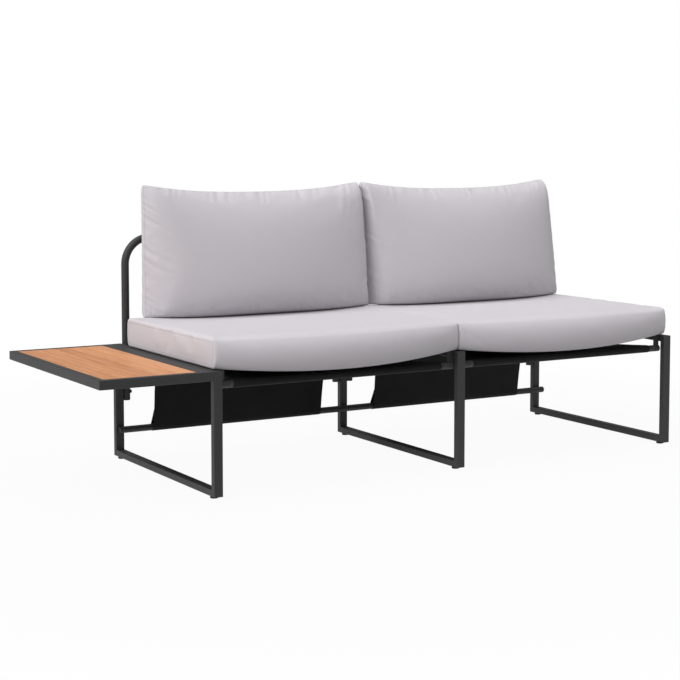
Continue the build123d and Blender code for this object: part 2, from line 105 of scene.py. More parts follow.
class Finish:
    """The node tree of one material, or of the world."""

    def __init__(self, name, owner=None):
        self.owner = owner or bpy.data.materials.new(name)
        self.owner.use_nodes = True
        self.tree = self.owner.node_tree
        self.tree.nodes.clear()

    def node(self, kind, settings=None, inputs=None, out=0):
        """Adds a node, sets its settings first and then its sockets, and returns an output as a Wire."""
        made = self.tree.nodes.new(kind)
        for key, value in (settings or {}).items():
            if key == "stops":
                ramp = made.color_ramp
                while len(ramp.elements) > 2:
                    ramp.elements.remove(ramp.elements[-1])
                for i, (place, colour) in enumerate(value):
                    stop = ramp.elements[i] if i < 2 else ramp.elements.new(place)
                    stop.position, stop.color = place, (*colour, 1.0)
            else:
                setattr(made, key, value)
        for key, value in (inputs or {}).items():
            if isinstance(value, Wire):
                self.tree.links.new(value.socket, made.inputs[key])
            else:
                made.inputs[key].default_value = value
        return Wire(self, made.outputs[out])

    def place(self, kind="Object"):
        """Object or UV coordinates."""
        names = ("Generated", "Normal", "UV", "Object")
        return self.node("ShaderNodeTexCoord", out=names.index(kind))

    def axes(self, vector):
        """The three numbers of a vector."""
        first = self.node("ShaderNodeSeparateXYZ", inputs={0: vector})
        return [Wire(self, first.socket.node.outputs[i]) for i in range(3)]

    def vector(self, x, y, z):
        """One vector from three numbers."""
        return self.node("ShaderNodeCombineXYZ", inputs={0: x, 1: y, 2: z})

    def noise(self, vector, scale, detail=2.0, rough=0.5, warp=0.0):
        """Smooth noise between 0 and 1."""
        return self.node("ShaderNodeTexNoise", inputs={
            "Vector": vector, "Scale": scale, "Detail": detail, "Roughness": rough, "Distortion": warp})

    def mix(self, share, first, second):
        """Colour mix of two colours or wires by a share."""
        mixed = self.node("ShaderNodeMix", {"data_type": "RGBA"}, out=2)
        made = mixed.socket.node
        for index, value in ((0, share), (6, first), (7, second)):
            if isinstance(value, Wire):
                self.tree.links.new(value.socket, made.inputs[index])
            elif index:
                made.inputs[index].default_value = (*value, 1.0)
            else:
                made.inputs[index].default_value = value
        return mixed

    def bump(self, height, distance, strength):
        """Normal that a height of 0 to 1 over a distance in metres gives."""
        return self.node("ShaderNodeBump", inputs={
            "Height": height, "Distance": distance, "Strength": strength})

    def surface(self, **inputs):
        """Principled surface; underscores in the names stand for spaces."""
        values = {key.replace("_", " "): value for key, value in inputs.items()}
        return self.close(self.node("ShaderNodeBsdfPrincipled", inputs=values))

    def close(self, shader, end="ShaderNodeOutputMaterial"):
        """Links the last shader to the tree's output."""
        output = self.tree.nodes.new(end)
        self.tree.links.new(shader.socket, output.inputs["Surface"])
        return self.owner


def powder_coat():
    """Charcoal powder coat with a fine orange-peel bump and a faint cloudiness."""
    f = Finish("powder_coat")
    at = f.place()
    cloud = f.noise(at, 9.0, 3.0, 0.6)
    peel = f.noise(at, 900.0, 2.0, 0.55)
    speck = f.noise(at, 2600.0, 1.0, 0.5)
    tone = cloud * 0.5 + speck * 0.5
    colour = f.mix(tone.step(0.3, 0.7), (0.024, 0.0245, 0.025), (0.033, 0.0335, 0.034))
    return f.surface(Base_Color=colour, Roughness=0.46 + 0.16 * cloud + 0.06 * speck,
                     Normal=f.bump(peel, 0.0003, 0.5))


def moulded_black():
    """Moulded black plastic with a fine spark-eroded grain."""
    f = Finish("moulded_black")
    at = f.place()
    grain = f.noise(at, 1800.0, 2.0, 0.6)
    colour = f.mix(grain, (0.012, 0.012, 0.012), (0.024, 0.024, 0.025))
    return f.surface(Base_Color=colour, Roughness=0.52 + 0.2 * grain, Normal=f.bump(grain, 0.0002, 0.4))


def dark_screw():
    """Blackened steel of the bolts, brushed and slightly uneven."""
    f = Finish("dark_screw")
    at = f.place()
    blotch = f.noise(at, 260.0, 3.0, 0.6)
    colour = f.mix(blotch, (0.05, 0.05, 0.052), (0.11, 0.11, 0.112))
    return f.surface(Base_Color=colour, Metallic=0.8, Roughness=0.32 + 0.25 * blotch,
                     Normal=f.bump(blotch, 0.0002, 0.3))


def zinc_steel():
    """Zinc-plated screws and inserts with a cloudy spangle."""
    f = Finish("zinc_steel")
    at = f.place()
    spangle = f.noise(at, 420.0, 3.0, 0.65)
    colour = f.mix(spangle, (0.42, 0.43, 0.44), (0.62, 0.62, 0.60))
    return f.surface(Base_Color=colour, Metallic=0.95, Roughness=0.28 + 0.25 * spangle,
                     Normal=f.bump(spangle, 0.0002, 0.3))


def oiled_wood():
    """Oiled hardwood with the grain along Y; each slat has its own tone, rings and pores."""
    f = Finish("oiled_wood")
    x, y, z = f.axes(f.place())
    slat_count, slat_gap = 5, 0.0015
    low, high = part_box("table_slat_1")[0][0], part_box(f"table_slat_{slat_count}")[1][0]
    pitch = (high - low + slat_gap) / slat_count
    board = ((x - (low - slat_gap / 2)) / pitch).floor()
    own = f.node("ShaderNodeTexWhiteNoise", {"noise_dimensions": "1D"}, {"W": board * 3.7 + 1.3})
    sway = f.noise(f.vector(x * 4.0, y * 2.2, board * 5.0), 1.0, 2.0)
    along = f.vector((x + sway * 0.02) * 95.0, y * 3.2 + own * 19.0, z * 95.0 + board * 4.0)
    rings = f.noise(along, 1.0, 4.0, 0.62, 0.6)
    fine = f.noise(f.vector(x * 900.0, y * 24.0 + own * 7.0, z * 900.0), 1.0, 3.0, 0.6)
    pores = f.noise(f.vector(x * 1500.0, y * 60.0, z * 1500.0 + board), 1.0, 1.0).step(0.63, 0.72)
    colour = f.node("ShaderNodeValToRGB", {"stops": [
        (0.25, (0.36, 0.135, 0.052)), (0.45, (0.56, 0.235, 0.095)),
        (0.6, (0.66, 0.30, 0.130)), (0.8, (0.74, 0.37, 0.175))]},
        {"Fac": rings * 0.8 + fine * 0.2 + (own - 0.5) * 0.22})
    colour = f.mix(pores * 0.45, colour, (0.24, 0.085, 0.032))
    return f.surface(Base_Color=colour, Roughness=0.44 + 0.2 * fine - 0.06 * rings,
                     Normal=f.bump(fine * 0.6 + rings * 0.4 - pores * 0.5, 0.0005, 0.5))


def sling_mesh():
    """Coated-yarn mesh: a plain weave, read from the cloth's own map in metres, with small windows."""
    f = Finish("sling_mesh")
    u, v, _ = f.axes(f.place("UV"))
    yarn_pitch = 0.0017
    turns = 2 * math.pi / yarn_pitch
    warp, weft = (u * turns).sine(), (v * turns).sine()
    over = (u * (turns / 2)).sine() * (v * (turns / 2)).sine()
    window = warp.step(0.72, 0.92) * weft.step(0.72, 0.92)
    dusty = f.noise(f.place(), 14.0, 3.0)
    tone = over.step(-0.6, 0.6) * 0.6 + dusty * 0.4
    colour = f.mix(tone, (0.0045, 0.0045, 0.0046), (0.0105, 0.0105, 0.0107))
    relief = f.bump(warp.most(weft) * 0.5 + over * 0.5, 0.0004, 0.6)
    return f.surface(Base_Color=colour, Roughness=0.6 + 0.18 * dusty, Alpha=1.0 - window * 0.9,
                     Normal=relief, Specular_IOR_Level=0.22)


def cushion_cloth():
    """Woven outdoor cloth: slubby yarns on the panel's own map, with stitched seams by attribute that are
    sunk by a bump and darkened with painted shade.
    """
    f = Finish("cushion_cloth")
    u, v, _ = f.axes(f.place("UV"))
    yarn_pitch = 0.0011
    thread_core, thread_edge = 0.0007, 0.0020
    turns = 2 * math.pi / yarn_pitch
    slub_u = f.noise(f.vector(u * 40.0, v * 900.0, 0.0), 1.0, 2.0)
    slub_v = f.noise(f.vector(u * 900.0, v * 40.0, 3.0), 1.0, 2.0)
    weave = (u * turns).sine() * (v * turns).sine()
    cloud = f.noise(f.place(), 5.0, 3.0, 0.55)
    seam = f.node("ShaderNodeAttribute", {"attribute_name": "seam"}, out=2)
    stitch_and_shade = 1.0 - abs(seam).step(thread_core, thread_edge)
    lines = f.mix(0.5 * slub_u + 0.5 * slub_v, (0.575, 0.545, 0.585), (0.660, 0.630, 0.665))
    colour = f.mix(cloud.step(0.25, 0.75) * 0.35, lines, (0.600, 0.575, 0.605))
    # Painted shade: the cloth is darkened along the stitch lines, as shade in the sunken stitching
    colour = f.mix(stitch_and_shade * 0.4, colour, (0.33, 0.31, 0.335))
    height = weave * 0.4 + (slub_u + slub_v) * 0.6 - stitch_and_shade * 1.2
    return f.surface(Base_Color=colour, Roughness=0.82 + 0.14 * cloud,
                     Normal=f.bump(height, 0.0006, 0.5), Sheen_Weight=0.18, Sheen_Roughness=0.45)


finishes = {"frame_paint": powder_coat(), "mesh": sling_mesh(), "cushion_cloth": cushion_cloth(),
            "oiled_wood": oiled_wood(), "black_plastic": moulded_black(), "dark_steel": dark_screw(),
            "zinc_steel": zinc_steel()}
slot_by_node = {"hoop_plugs": "black_plastic", "low_tube_caps": "black_plastic",
                "hoop_bolts": "dark_steel", "table_bolts": "dark_steel", "low_tube_screws": "dark_steel",
                "stop_screws": "dark_steel", "slat_screws": "zinc_steel", "foot_inserts": "zinc_steel"}
slot_by_ending = {"_foot": "black_plastic", "_sling": "mesh", "_cushion": "cushion_cloth"}


def node_finish(name):
    """The finish of a CAD node, by its own name, by the ending of its name, or else the frame's paint."""
    if name.startswith("table_slat_"):
        return finishes["oiled_wood"]
    for ending, slot in slot_by_ending.items():
        if name.endswith(ending):
            return finishes[slot]
    return finishes[slot_by_node.get(name, "frame_paint")]


for name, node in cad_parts.items():
    node.data.materials.clear()
    node.data.materials.append(node_finish(name))


def piece_from(name, points, faces, finish, maps):
    """Smooth mesh object at the origin from arrays of points and quads, with a map in metres per corner."""
    mesh = bpy.data.meshes.new(name)
    mesh.from_pydata(points.tolist(), [], faces.tolist())
    layer = mesh.uv_layers.new(name="cloth_map")
    layer.data.foreach_set("uv", np.asarray(maps, dtype=np.float32).ravel())
    mesh.polygons.foreach_set("use_smooth", np.full(len(faces), True))
    mesh.materials.append(finish)
    mesh.update()
    made = bpy.data.objects.new(name, mesh)
    scene.collection.objects.link(made)
    return made


def grid_quads(rows, columns):
    """Quads of a rows by columns grid of points, row after row."""
    index = np.arange(rows * columns).reshape(rows, columns)
    corners = [index[:-1, :-1], index[:-1, 1:], index[1:, 1:], index[1:, :-1]]
    return np.stack(corners, -1).reshape(-1, 4)


def lengths_along(line):
    """How far each point of a line lies along it."""
    return np.concatenate([[0], np.cumsum(np.hypot(*np.diff(line, axis=0).T))])


def smooth_run(stretches, step):
    """Points along straight runs and arcs, given as a list of (y, z) arrays, spaced by about one step."""
    line = np.concatenate(stretches)
    keep = np.concatenate([[True], np.hypot(*np.diff(line, axis=0).T) > 1e-6])
    line = line[keep]
    far = lengths_along(line)
    at = np.linspace(0, far[-1], int(far[-1] / step) + 1)
    return np.stack([np.interp(at, far, line[:, 0]), np.interp(at, far, line[:, 1])], 1), at


def arc(centre, radius, start, end, count=31):
    """Points on a circle about centre from one angle to another, in degrees from +Y towards +Z."""
    turn = np.radians(np.linspace(start, end, count))
    return np.stack([centre[0] + radius * np.cos(turn), centre[1] + radius * np.sin(turn)], 1)


# Slings: lines, laps and edges in metres, from the tubes' centres in the frame
sling_columns, sling_step = 90, 0.007
mesh_thick = 0.0009
tube_wrap, hoop_wrap = 0.0103, 0.0118
hoop_radius, sleeve_radius = 0.011, 0.011
wrap_turn = 205
head_lap, toe_lap, lap_gap = 0.045, 0.055, 0.0013
join_set, join_drop = 0.066, 0.034
seat_lap, seat_lap_drop, seat_lap_turn = 0.034, 0.0024, 292
seat_sling_sag = 0.008
seat_hem_set, seat_hem_drop, seat_hem_lean, seat_hem_rise = 0.0035, 0.001, 0.0022, 0.016


def box_middle(name):
    """Middle of a node's box, in Y and Z."""
    low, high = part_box(name)
    return (low[1] + high[1]) / 2, (low[2] + high[2]) / 2


seat_tube, low_tube = box_middle("left_seat_tube"), box_middle("low_rear_tube")
hoop_bar = (box_middle("left_back_hoop")[0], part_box("left_back_hoop")[1][2] - hoop_radius)
join = (y_rear - join_set, z_top - join_drop)


def sling_sheet(name, run, left, right, body, replaced):
    """Cloth of a sling: a (y, z) profile carried along X, each row a straight line between its two edges."""
    line, far = run
    across = np.linspace(0, 1, sling_columns)[None, :]
    x = left[:, None] + (right - left)[:, None] * across
    y = np.repeat(line[:, :1], sling_columns, 1)
    z = np.repeat(line[:, 1:], sling_columns, 1)
    points = np.stack([x, y, z], -1).reshape(-1, 3)
    faces = grid_quads(len(line), sling_columns)
    maps = np.stack([x, np.repeat(far[:, None], sling_columns, 1)], -1).reshape(-1, 2)[faces]
    made = piece_from(name, points, faces, finishes["mesh"], maps)
    thick = made.modifiers.new("cloth_thickness", "SOLIDIFY")
    thick.thickness = mesh_thick
    thick.offset = 0
    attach(made, body)
    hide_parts(replaced)
    width, widest, length = float(np.mean(right - left)), float(np.max(right - left)), float(far[-1])


def touch_angle(centre, radius, side):
    """Angle in degrees where a line from the join touches a circle's front: side 1 above it, -1 below."""
    away, up = centre[0] - join[0], centre[1] - join[1]
    lean = math.degrees(math.asin(radius / math.hypot(away, up)))
    return math.degrees(math.atan2(up, away)) + side * (90 + lean)


def lap_end(start, length):
    """End of a lap that runs from a point towards the join, just behind the panel."""
    way = np.array(join) - start
    return start + way / np.hypot(*way) * length + np.array([lap_gap, 0])


def back_sling(bay, x_low, x_high):
    """Back sling: lap behind the head bar, over the bar, down to the join, round the low tube, lap behind.

    With s from 0 at the low tube to 1 at the bar, each edge is set in by 81 + 13 s mm, less a bell of 4.7 mm
    about s = 0.25, where the seat sling pulls.
    """
    head_front = touch_angle(hoop_bar, hoop_wrap, 1)
    toe_front = touch_angle(low_tube, tube_wrap, -1)
    head = arc(hoop_bar, hoop_wrap, head_front - wrap_turn, head_front)
    toe = arc(low_tube, tube_wrap, toe_front, toe_front + wrap_turn)
    head_end, toe_end = lap_end(head[-1], head_lap), lap_end(toe[0], toe_lap)
    run = smooth_run([head_end[None], head, np.array(join)[None], toe, toe_end[None]], sling_step)
    share = np.clip((run[0][:, 1] - low_tube[1]) / (hoop_bar[1] - low_tube[1]), 0, 1)
    inset = 0.081 + 0.013 * share - 0.0047 * np.exp(-((share - 0.25) / 0.13) ** 2)
    sling_sheet(f"{bay}_back_sling_cloth", run, x_low + inset, x_high - inset, "frame", f"{bay}_back_sling")


def seat_sling(bay, x_low, x_high):
    """Seat sling: lap under the panel, round the seat tube, back as a shallow parabola to the sewn hem.

    With t from 0 at the tube to 1 at the hem, each edge is set in by 41 + 46 t mm and drawn in by
    120 t (1 - t) mm.
    """
    top = (seat_tube[0], seat_tube[1] + tube_wrap)
    seat_end = (join[0] - seat_hem_set, join[1] - seat_hem_drop)
    lap = np.array([[seat_tube[0] + seat_lap, top[1] - seat_lap_drop]])
    wrap = arc(seat_tube, tube_wrap, seat_lap_turn, 90)
    along = np.linspace(0, 1, 40)
    sag = seat_sling_sag * 4 * along * (1 - along)
    panel = np.stack([top[0] + (seat_end[0] - top[0]) * along,
                      top[1] + (seat_end[1] - top[1]) * along - sag], 1)
    hem = np.array([[seat_end[0] + seat_hem_lean, seat_end[1] + seat_hem_rise]])
    run = smooth_run([lap, wrap, panel, hem], sling_step)
    start = seat_tube[0] + sleeve_radius
    back = np.clip((run[0][:, 0] - start) / (seat_end[0] - start), 0, 1)
    back[: int(len(wrap) / 3)] = 0
    inset = 0.041 + 0.046 * back + 0.120 * back * (1 - back)
    sling_sheet(f"{bay}_seat_sling_cloth", run, x_low + inset, x_high - inset, "frame", f"{bay}_seat_sling")


for bay, (x_low, x_high) in bays.items():
    back_sling(bay, x_low, x_high)
    seat_sling(bay, x_low, x_high)


def spaced(half, edge, step, rim):
    """Places from -half to half: even steps inside, finer ones over the last edge at each end."""
    inner = np.linspace(-(half - edge), half - edge, max(2, int(round(2 * (half - edge) / step)) + 1))
    outer = (half - edge) + edge * np.linspace(0, 1, rim + 1)[1:]
    return np.concatenate([-outer[::-1], inner, outer])


def boxed_shell(half, rounding, step, rim=3):
    """Closed grid on a rounded box: lattice points of the box's skin, each pulled onto a rolling ball's skin.

    A point p is clamped into the box shrunk by the rounding, and pushed out from there by the rounding.
    Gives the rounded points, the unrounded places, the quads, and a map in metres for each corner.
    """
    lines = [spaced(h, rounding, step, rim) for h in half]
    counts = [len(line) for line in lines]
    lattice = np.stack(np.meshgrid(*lines, indexing="ij"), -1)
    skin = np.zeros(counts, bool)
    for axis in range(3):
        edge = [slice(None)] * 3
        for side in (0, -1):
            edge[axis] = side
            skin[tuple(edge)] = True
    index = np.full(counts, -1)
    index[skin] = np.arange(skin.sum())
    flat = lattice[skin]
    inner = np.clip(flat, -(np.array(half) - rounding), np.array(half) - rounding)
    out = flat - inner
    size = np.linalg.norm(out, axis=1, keepdims=True)
    points = inner + out / np.maximum(size, 1e-9) * rounding
    quads, maps = [], []
    for axis in range(3):
        a, b = [k for k in range(3) if k != axis]
        for side in (0, -1):
            sheet = np.take(index, side, axis=axis)
            corners = [sheet[:-1, :-1], sheet[1:, :-1], sheet[1:, 1:], sheet[:-1, 1:]]
            outward = (side == -1) == (axis != 1)
            if not outward:
                corners = corners[::-1]
            face = np.stack(corners, -1).reshape(-1, 4)
            quads.append(face)
            apart = np.array([axis * 2.0 + (0.7 if side else 0.0), 0.0])
            maps.append(flat[face][:, :, [a, b]] + apart)
    return points, flat, np.concatenate(quads), np.concatenate(maps)


# Cloth simulation of the covers
swell_frames = 10
fill_pressure = 1.5
spare_length = 0.05
slack_levels = 10


def swell(made, pinned, slack, cap, give):
    """Blows a sewn cover up as cloth with its pinned points held, and keeps the result on the mesh.

    Slack from 0 to 1 makes the cloth up to 5 % longer than its place, so it puckers there. A point moves by
    no more than the cap, times its give.
    """
    mesh = made.data
    before = np.empty(len(mesh.vertices) * 3)
    mesh.vertices.foreach_get("co", before)
    held = made.vertex_groups.new(name="held")
    held.add(np.nonzero(pinned)[0].tolist(), 1.0, "REPLACE")
    taut = made.vertex_groups.new(name="taut")
    level = np.round((1 - slack) * slack_levels).astype(int)
    for step in range(1, slack_levels + 1):
        taut.add(np.nonzero(level == step)[0].tolist(), step / slack_levels, "REPLACE")
    cloth = made.modifiers.new("cover", "CLOTH")
    setting = cloth.settings
    setting.quality = 4
    setting.mass = 0.3
    setting.air_damping = 3.0
    setting.tension_stiffness = setting.compression_stiffness = 30
    setting.shear_stiffness = 12
    setting.bending_stiffness = 0.8
    setting.tension_damping = setting.compression_damping = setting.shear_damping = 10
    setting.use_pressure = True
    setting.uniform_pressure_force = fill_pressure
    setting.vertex_group_mass = "held"
    setting.vertex_group_shrink = "taut"
    setting.shrink_min, setting.shrink_max = -spare_length, -0.001
    setting.effector_weights.gravity = 0
    cloth.collision_settings.use_collision = False
    cloth.point_cache.frame_start, cloth.point_cache.frame_end = 1, swell_frames
    for number in range(1, swell_frames + 1):
        scene.frame_set(number)
    shown = made.evaluated_get(bpy.context.evaluated_depsgraph_get())
    after = np.empty_like(before)
    shown.data.vertices.foreach_get("co", after)
    made.modifiers.remove(cloth)
    made.vertex_groups.clear()
    scene.frame_set(1)
    before, after = before.reshape(-1, 3), after.reshape(-1, 3)
    move = after - before
    size = np.linalg.norm(move, axis=1, keepdims=True)
    move = move * give[:, None] * np.minimum(1.0, cap / np.maximum(size, 1e-9))
    mesh.vertices.foreach_set("co", (before + move).astype(np.float32).ravel())
    mesh.update()


def seam_lines(made, distance):
    """Keeps each point's signed distance to the nearest stitch line, in metres."""
    layer = made.data.attributes.new("seam", "FLOAT", "POINT")
    layer.data.foreach_set("value", np.asarray(distance, dtype=np.float32))


def finish_cushion(made, body, replaced):
    """Smooths a cover and says which body it rides and which node it stands for."""
    smooth = made.modifiers.new("smooth_cover", "SUBSURF")
    smooth.levels = smooth.render_levels = 1
    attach(made, body)
    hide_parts(replaced)


def creases(along, wave, seed):
    """Uneven ripple from -1 to 1 along a seam: a sine whose phase and height both wander along the way."""
    turn = 2 * np.pi * along / wave
    wander = 1.7 * np.sin(turn / 3.1 + 2.3 * seed) + 1.1 * np.sin(turn / 5.3 + 0.7 * seed)
    return np.sin(turn + wander) * (0.5 + 0.5 * np.sin(turn / 4.7 + 1.9 * seed))


def fade(distance, near, far):
    """Nothing on the seam itself, most a little way off it, and gone further out."""
    return (1 - np.exp(-distance / near)) * np.exp(-(distance / far) ** 1.3)


def bell(distance, reach):
    """1 at no distance, falling as a bell curve over the reach."""
    return np.exp(-(distance / reach) ** 2)


def rise(value, start, length):
    """0 up to the start, then straight up to 1 over the length."""
    return np.clip((value - start) / length, 0, 1)


# Seat cushions: sizes in metres, from the frame's rails
rest_depth = 0.0074
seat_side_gap = 0.0004
seat_front_set, seat_rear_set = 0.013, 0.078
seat_lift, seat_top = 0.0015, 0.407
seat_edge, seat_step = 0.007, 0.0088
seat_bow = 0.050
seat_nose_end, seat_nose_middle, seat_heel = 0.012, 0.024, 0.012
nose_power = 2.3
seat_hang, hang_reach, lip_reach, lip_share = 0.021, 0.88, 0.028, 0.06
seat_crown = 0.005
rest_front, rest_slope = 0.27, 0.085
seat_end_puff = 0.0025
seat_stitch_inset = 0.0095
seat_slack, seat_cap = 0.14, 0.0018


def rest_dip(x):
    """How far the seat gives under the back cushions: 7.4 mm times 1 - t^4 across each cushion's width."""
    dip = np.zeros_like(x)
    for bay in bays:
        low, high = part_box(f"{bay}_back_cushion")
        t = (x - (low[0] + high[0]) / 2) / ((high[0] - low[0]) / 2)
        dip = np.maximum(dip, rest_depth * np.clip(1 - t ** 4, 0, 1))
    return dip


def seat_cover(bay):
    """Seat cushion: a rounded box whose front bows forward and whose underside hangs between the rails.

    With a from -1 to 1 across the seat, b from 0 at the rear to 1 at the front, c from 0 to 1 up and
    fall = 1 - a^2, the front edge moves forward by 50 mm times fall. The underside drops by 21 mm times
    1 - (|a| / 0.88)^2.6 and stays level over the rails, and the front lip drops by 21 mm times
    (fall - 0.06) / 0.94. The top rises a little towards the middle and dips under the back cushions.
    A superellipse rolls the front and the rear over.
    """
    low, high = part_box(f"{bay}_seat_cushion")
    half_x = (high[0] - low[0]) / 2 - seat_side_gap
    centre_x = (high[0] + low[0]) / 2
    y_corner, y_back = y_front + seat_front_set, y_rear - seat_rear_set
    z_low, z_high = z_top + seat_lift, seat_top
    half = (half_x, (y_back - y_corner) / 2, (z_high - z_low) / 2)
    points, flat, faces, maps = boxed_shell(half, seat_edge, seat_step)

    # The end that meets the other seat is pressed almost square behind its front corner
    meeting = (flat[:, 0] > 0) == (bay == "left")
    pressed = meeting * rise(points[:, 1] + half[1], 0.02, 0.03)
    points = points + (flat - points) * (0.85 * pressed)[:, None]

    a = points[:, 0] / half_x
    b = 0.5 - points[:, 1] / (2 * half[1])
    c = 0.5 + points[:, 2] / (2 * half[2])
    fall = 1 - a * a
    into = points[:, 1] + half[1]
    end = half_x - np.abs(points[:, 0])
    waist = np.sin(np.pi * np.clip(c, 0, 1))
    x = centre_x + points[:, 0]
    y = (y_corner + y_back) / 2 + points[:, 1] - seat_bow * fall * b ** 1.6
    z = (z_high + z_low) / 2 + points[:, 2]

    # Rolled front and rear, hanging underside, crowned top, and the dip under the back cushions
    nose = 1 - (1 - np.abs(np.clip(2 * c - 1, -1, 1)) ** nose_power) ** (1 / nose_power)
    y = y + (seat_nose_end + seat_nose_middle * fall ** 0.5) * nose * bell(into, 0.05)
    y = y - seat_heel * nose * bell(2 * half[1] - into, 0.03)
    lip = bell(into, lip_reach)
    level_hang = np.clip(1 - (np.abs(a) / hang_reach) ** 2.6, 0, 1)
    lip_hang = np.clip(fall - lip_share, 0, 1) / (1 - lip_share)
    z = z - seat_hang * (lip * lip_hang + (1 - lip) * level_hang) * (1 - c)
    z = z + seat_crown * fall ** 0.6 * c * rise(b, 0.22, 0.3) ** 2 * np.clip(1.6 - 1.6 * b, 0, 1) ** 0.5
    rest = rise(y, y_rear - rest_front, rest_slope)
    z = z - 1.04 * rest_dip(x) * c * rest * rest * (3 - 2 * rest)

    # Puffed outer end beside the table, and faint creases beside the end seams and along the front
    outer_end = (end < 0.0005) * (bay == "left") * (a < 0)
    x = x + np.sign(a) * seat_end_puff * waist * outer_end * np.sin(np.pi * np.clip(b, 0, 1))
    seed = 1.0 if bay == "left" else 2.4
    z = z + 0.0007 * c * creases(into + 0.3 * end, 0.031, seed) * fade(end, 0.004, 0.03)
    y = y + 0.0008 * creases(points[:, 0] + 2 * points[:, 2], 0.043, seed) * rise(b, 0.97, 0.03) * waist
    made = piece_from(f"{bay}_seat_cushion_cover", np.stack([x, y, z], 1), faces,
                      finishes["cushion_cloth"], maps)

    on_end = np.abs(flat[:, 0]) > half_x - 1e-6
    rim = np.minimum(half[1] - np.abs(flat[:, 1]), half[2] - np.abs(flat[:, 2]))
    from_edge = np.where(on_end, rim, -half_x + np.abs(flat[:, 0]))
    seam_lines(made, from_edge - seat_stitch_inset)
    pinned = (c < 0.12) | (rest > 0.02) | (b < 0.03) | (pressed > 0.5) * on_end
    give = rise(c, 0.12, 0.2) * np.clip((0.02 - rest) / 0.02, 0, 1) * (1 - pressed * (end < 0.03))
    swell(made, pinned, seat_slack * np.exp(-end / 0.03), seat_cap, give)
    finish_cushion(made, f"{bay}_seat_cushion_body", f"{bay}_seat_cushion")


def even_places(curve, count):
    """Places from -1 to 1 that are evenly spaced along a curve, given as a function to two coordinates."""
    t = np.sin(np.linspace(-np.pi / 2, np.pi / 2, 6001))
    far = lengths_along(np.stack(curve(t), 1))
    at = np.linspace(0, far[-1], count)
    return np.interp(at, far, t), at


def edge_round(t, power):
    """Full inside, falling to nothing at -1 and 1 with an upright end: (1 - |t|^power)^0.45."""
    return np.clip(1 - np.abs(t) ** power, 0, 1) ** 0.45


def between(pair, share):
    """Straight from the first of a pair to the second."""
    return pair[0] + (pair[1] - pair[0]) * share


# Back cushions: sizes in metres, and set means forward of the rear of the frame.
# Each pair holds a value at the foot and one at the head, for the left and the right end of a cushion.
back_columns, back_rows = 128, 84
back_half, back_tall = 0.354, 0.36
end_shifts = {"left": ((-0.018, 0.002), (0.010, 0.007)), "right": ((0.017, 0.0100), (0.015, 0.000))}
fold_widths = {"left": ((0.046, 0.022), (0.013, 0.009)), "right": ((0.036, 0.009), (0.010, 0.009))}
fold_firmness = {"left": ((4.5, 2.4), (7.0, 3.0)), "right": ((12.0, 7.0), (5.0, 3.0))}
rear_foot_set, rear_head_set = 0.062, 0.030
front_foot_set, front_foot_drawn, front_head_set = 0.150, 0.026, 0.086
belly_depth, foot_tuck, rear_belly = 0.046, 0.022, 0.002
seam_set_head, seam_set_foot = 0.010, 0.026
back_head, ear_rise = 0.753, 0.026
back_foot = 0.4072
ear_round, ear_reach = 0.004, 0.010
back_stitch_inset = 0.016
back_cap = 0.004
head_slack = {"left": 1.0, "right": 0.7}
end_slack = 0.62


def belly(h):
    """Fullness of a back cushion at the height h: most a little below the middle, none at head and foot."""
    return np.clip(1 - np.abs(2 * np.clip(h, 0, 1) ** 0.85 - 1) ** 2.2, 0, 1) ** 0.9


def upright(h, head=6.5, foot=56.0):
    """Full between head and foot, with a round head and a square foot: the higher the power, the squarer."""
    return edge_round(2 * h - 1, np.where(h > 0.5, head, foot))


def back_creases(u, v, a, h, seed):
    """Ripples of about 2 mm beside the head, end and foot seams, with the distances from those seams."""
    from_end = np.minimum(u, u[0, -1] - u)
    from_top = v[-1, 0] - v
    from_foot = np.maximum(0.0, v - np.interp(0.012, h[:, 0], v[:, 0]))
    crease = 0.0022 * creases(u + 0.2 * from_top, 0.030, seed) * fade(from_top, 0.025, 0.085)
    ends = 0.0020 * creases(v + 0.3 * from_end, 0.026, seed + np.sign(a)) * fade(from_end, 0.012, 0.070)
    foot = 0.0026 * creases(u, 0.027, seed + 5) * fade(from_foot, 0.010, 0.040) * (0.2 + 0.8 * a ** 4)
    return crease + ends + foot, from_end, from_top, from_foot


def rippled(grid, ripple, side):
    """A grid of points moved by a ripple along its normals."""
    out = np.cross(np.gradient(grid, axis=1), np.gradient(grid, axis=0))
    out = out / np.maximum(np.linalg.norm(out, axis=-1, keepdims=True), 1e-9)
    return grid + out * side * ripple[..., None]


